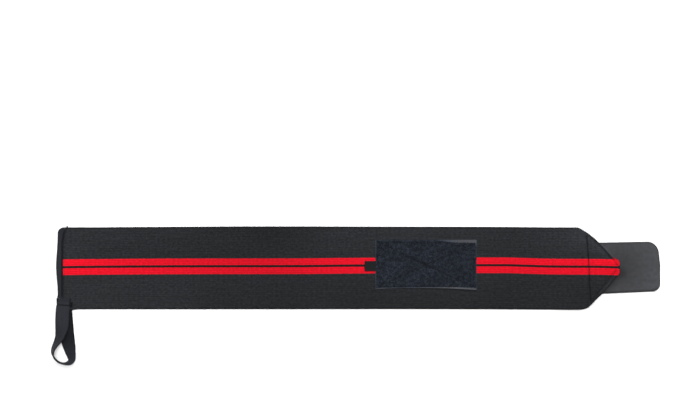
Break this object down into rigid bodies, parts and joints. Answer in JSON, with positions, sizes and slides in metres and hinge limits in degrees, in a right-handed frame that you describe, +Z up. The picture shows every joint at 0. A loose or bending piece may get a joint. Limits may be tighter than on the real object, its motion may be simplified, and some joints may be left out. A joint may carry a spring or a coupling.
{
  "type": "wrist wrap",
  "caption": "Flat woven elastic wrist support strap with a bound end, a twisted thumb loop, a loop fastening patch, a folded point and a rounded hook tab.",
  "frame": {"origin": "on the band's flat underside, at the middle of its width and half way from the bound end to the end of the hook tab", "axes": "+X along the band from the bound end to the hook tab, +Y across the band away from the thumb loop, +Z up out of the outer face"},
  "size_m": [0.6307, 0.1426, 0.0142],
  "materials": {
    "webbing": "matt ribbed elastic weave, black with two woven red stripes",
    "tape": "matt woven tape, black",
    "pile": "brushed loop pile, blue black",
    "hook": "smooth woven backing of hook tape, dark grey",
    "tag": "fine woven ribbon, black",
    "thread": "sewing thread, black"
  },
  "bodies": {
    "root": {"band": "webbing", "end_binding": "tape", "thumb_loop": "tape", "loop_patch": "pile", "hook_tab": "hook", "label_tag": "tag"}
  },
  "joints": []
}
